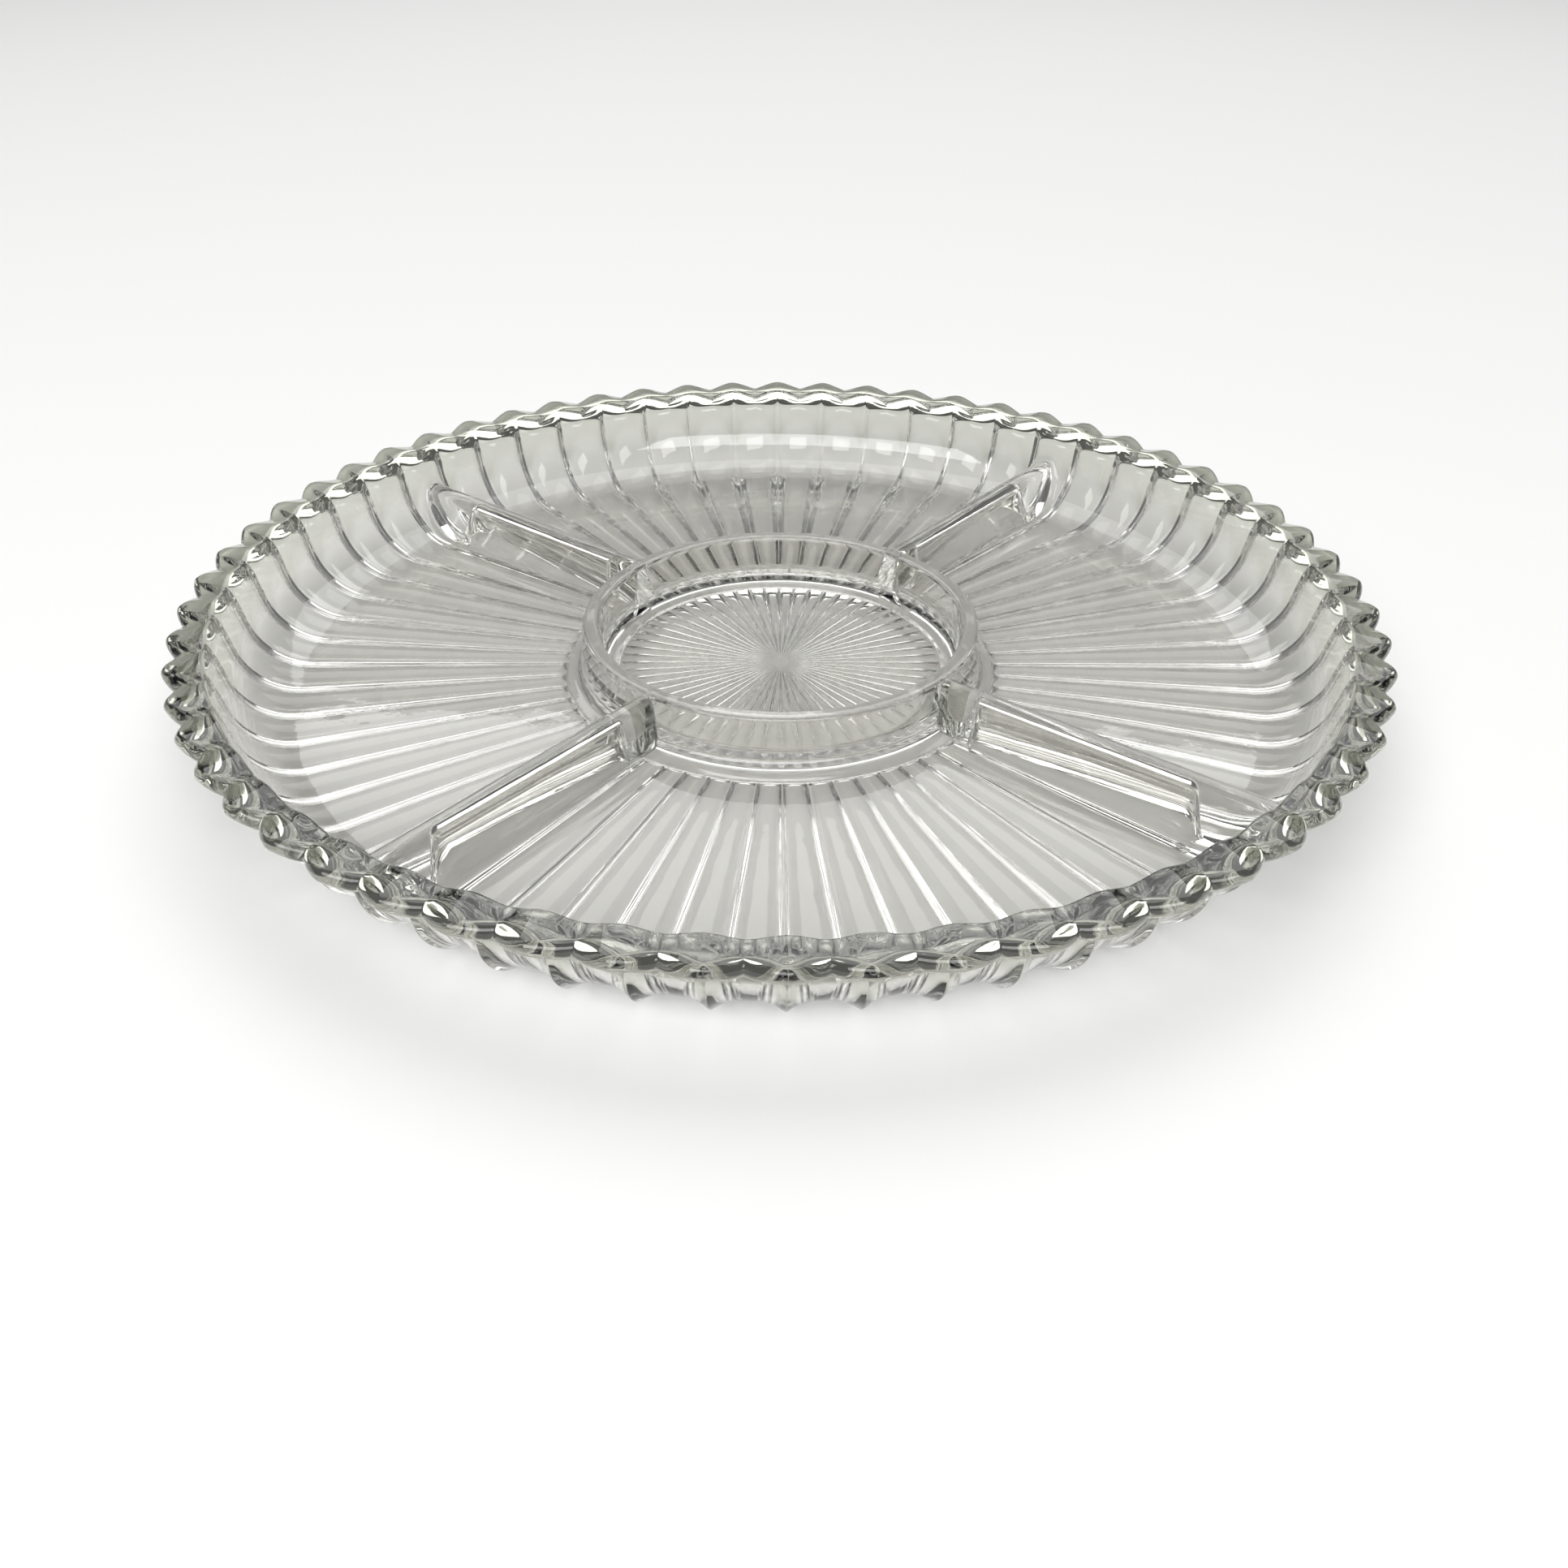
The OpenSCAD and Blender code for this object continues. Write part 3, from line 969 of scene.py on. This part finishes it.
def make_world(strength):
    """Even light from all around."""
    world = bpy.data.worlds.new("soft_room")
    world.use_nodes = True
    background = world.node_tree.nodes["Background"]
    background.inputs["Color"].default_value = (1, 1, 1, 1)
    background.inputs["Strength"].default_value = strength
    bpy.context.scene.world = world


def set_light_paths(cycles):
    """Ends light paths after a set number of turns. With 18 the glass came out lighter."""
    turns = 14
    cycles.max_bounces = turns
    cycles.glossy_bounces = turns
    cycles.transmission_bounces = turns


def make_camera():
    """The camera looks down at the tray from the front, a little from the left."""
    heading, pitch, roll = (math.radians(angle) for angle in (6.857, 34.60, 0.524))
    place = Vector((-0.04595, -0.39464, 0.2312))
    forward = Vector((math.sin(heading) * math.cos(pitch), math.cos(heading) * math.cos(pitch),
                      -math.sin(pitch)))
    level = forward.cross(Vector((0, 0, 1))).normalized()
    upward = level.cross(forward)
    right = level * math.cos(roll) + upward * math.sin(roll)
    top = upward * math.cos(roll) - level * math.sin(roll)
    data = bpy.data.cameras.new("camera")
    data.sensor_width = 36.0
    data.lens = 33.16
    data.clip_start = 0.01
    data.clip_end = 50.0
    camera = bpy.data.objects.new("camera", data)
    bpy.context.scene.collection.objects.link(camera)
    turn = Matrix((right, top, -forward)).transposed().to_4x4()
    camera.matrix_world = Matrix.Translation(place) @ turn
    bpy.context.scene.camera = camera


# ---------------------------------------------------------------- operators


def make_pieces(names):
    """Makes the named pieces of the tray."""
    for name in names:
        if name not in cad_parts:
            raise RuntimeError("the frame has no part named " + name)
        new_piece(name, pressed_glass())


class TRAY_OT_rim(Operator):
    """Make the toothed rim"""

    bl_idname = "tray.rim"
    bl_label = "Rim"

    def execute(self, context):
        make_pieces(["rim"])
        return {"FINISHED"}


class TRAY_OT_wall(Operator):
    """Make the fluted wall and the cove under it"""

    bl_idname = "tray.wall"
    bl_label = "Wall and Cove"

    def execute(self, context):
        make_pieces(["side_wall", "cove"])
        return {"FINISHED"}


class TRAY_OT_floors(Operator):
    """Make the fluted floors of the four compartments"""

    bl_idname = "tray.floors"
    bl_label = "Compartment Floors"

    def execute(self, context):
        make_pieces(["floor_" + name for name in QUARTERS])
        return {"FINISHED"}


class TRAY_OT_dividers(Operator):
    """Make the four hollow dividers"""

    bl_idname = "tray.dividers"
    bl_label = "Dividers"

    def execute(self, context):
        make_pieces(["divider_" + name for name in CORNERS])
        return {"FINISHED"}


class TRAY_OT_well(Operator):
    """Make the centre ring, the rayed floor inside it and the foot ring"""

    bl_idname = "tray.well"
    bl_label = "Centre Well"

    def execute(self, context):
        make_pieces(["centre_ring", "centre_floor", "foot_ring"])
        return {"FINISHED"}


class TRAY_OT_stage(Operator):
    """Make the floor, the lights and the camera"""

    bl_idname = "tray.stage"
    bl_label = "Floor, Lights and Camera"

    def execute(self, context):
        make_floor()
        make_world(strength=0.13)
        softbox("window", azimuth=-105, elevation=42, distance=3.0,
                width=4.0, height=1.5, power=108)
        softbox("overhead", azimuth=80, elevation=58, distance=3.2,
                width=3.4, height=3.0, power=66)
        make_camera()
        context.scene.view_settings.view_transform = "Standard"
        set_light_paths(context.scene.cycles)
        return {"FINISHED"}


OPERATORS = (TRAY_OT_rim, TRAY_OT_wall, TRAY_OT_floors, TRAY_OT_dividers, TRAY_OT_well,
             TRAY_OT_stage)


class TRAY_PT_panel(Panel):
    """Lists the tray's sizes, colours and pieces"""

    bl_idname = "TRAY_PT_panel"
    bl_label = "Serving Tray"
    bl_space_type = "VIEW_3D"
    bl_region_type = "UI"
    bl_category = "Serving Tray"

    def draw(self, context):
        for operator in OPERATORS:
            self.layout.operator(operator.bl_idname)
        for group in (context.scene.tray_sizes, context.scene.tray_colours):
            for name in group.bl_rna.properties.keys():
                if name not in ("rna_type", "name"):
                    self.layout.prop(group, name)


CLASSES = (TraySizes, TrayColours, *OPERATORS, TRAY_PT_panel)


def register():
    for cls in CLASSES:
        bpy.utils.register_class(cls)
    bpy.types.Scene.tray_sizes = PointerProperty(type=TraySizes)
    bpy.types.Scene.tray_colours = PointerProperty(type=TrayColours)


def unregister():
    del bpy.types.Scene.tray_colours
    del bpy.types.Scene.tray_sizes
    for cls in reversed(CLASSES):
        bpy.utils.unregister_class(cls)


def main():
    register()
    bpy.ops.tray.stage()
    bpy.ops.tray.rim()
    bpy.ops.tray.wall()
    bpy.ops.tray.floors()
    bpy.ops.tray.dividers()
    bpy.ops.tray.well()


if __name__ == "__main__":
    main()
